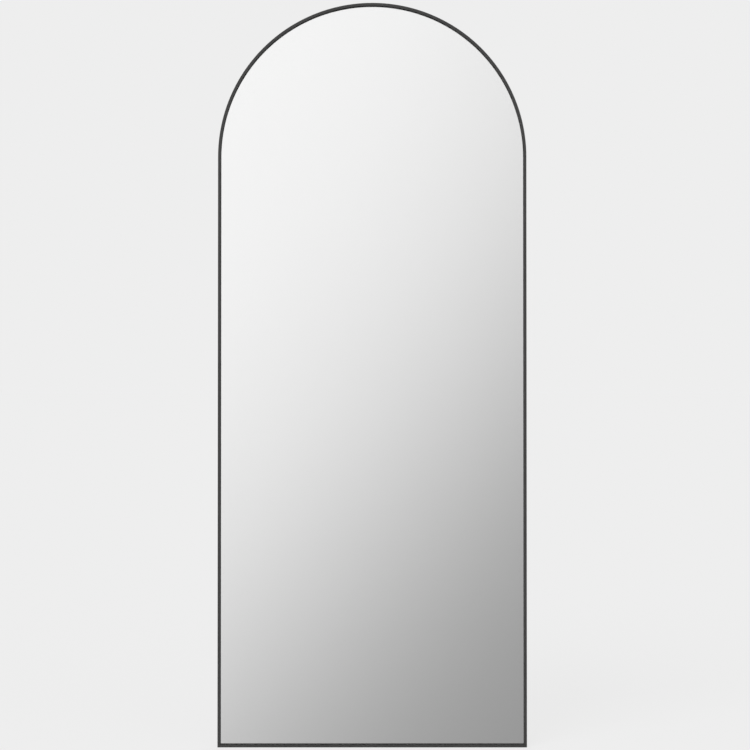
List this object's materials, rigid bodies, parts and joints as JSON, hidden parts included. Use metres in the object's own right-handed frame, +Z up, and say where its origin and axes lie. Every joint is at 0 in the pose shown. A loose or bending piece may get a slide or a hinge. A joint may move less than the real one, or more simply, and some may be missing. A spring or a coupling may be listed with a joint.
{
  "type": "full-length mirror",
  "caption": "Arched full-length wall mirror in a slim black channel frame, with hinged D-ring hangers and a keyhole plate behind.",
  "frame": {"origin": "middle of the mirror's foot: centred across it and over its whole depth, with the bottom rail's underside at Z = 0", "axes": "+Z up along the mirror's height, +X across its width, and +Y to the rear, towards the wall; the reflecting face looks along -Y"},
  "size_m": [0.705, 0.032, 1.6998],
  "materials": {
    "powder_coat": "satin black powder coat",
    "key_steel": "mill finish, pressed",
    "black_oxide_steel": "black oxide",
    "foam": "closed-cell foam",
    "glass": "clear polished",
    "silver": "silvered",
    "film": "smooth film",
    "rubber": "moulded matte",
    "fibreboard": "sanded fibreboard",
    "zinc_steel": "bright zinc plate",
    "ring_steel": "nickel-plated wire"
  },
  "bodies": {
    "mirror": {"arched_frame_rail": "powder_coat", "bottom_frame_rail": "powder_coat", "corner_key_left": "key_steel", "corner_key_right": "key_steel", "corner_grub_screws": "black_oxide_steel", "lip_tape": "foam", "mirror_glass": "glass", "silver_coating": "silver", "safety_film": "film", "bonding_tapes": "foam", "glass_setting_blocks": "rubber", "glass_side_spacers": "rubber", "back_panel": "fibreboard", "panel_screws": "zinc_steel", "hanger_strap_left": "zinc_steel", "hanger_strap_right": "zinc_steel", "hanger_screws": "zinc_steel", "keyhole_plate": "zinc_steel", "keyhole_plate_screws": "zinc_steel", "wall_bumpers": "rubber"},
    "ring_left": {"hanger_ring_left": "ring_steel"},
    "ring_right": {"hanger_ring_right": "ring_steel"}
  },
  "joints": [
    {"name": "ring_swing_left", "type": "hinge", "parent": "mirror", "child": "ring_left", "pos_m": [-0.2, 0.0058, 1.29], "axis": [1, 0, 0], "range_deg": [0, 180]},
    {"name": "ring_swing_right", "type": "hinge", "parent": "mirror", "child": "ring_right", "pos_m": [0.2, 0.0058, 1.29], "axis": [1, 0, 0], "range_deg": [0, 180]}
  ]
}
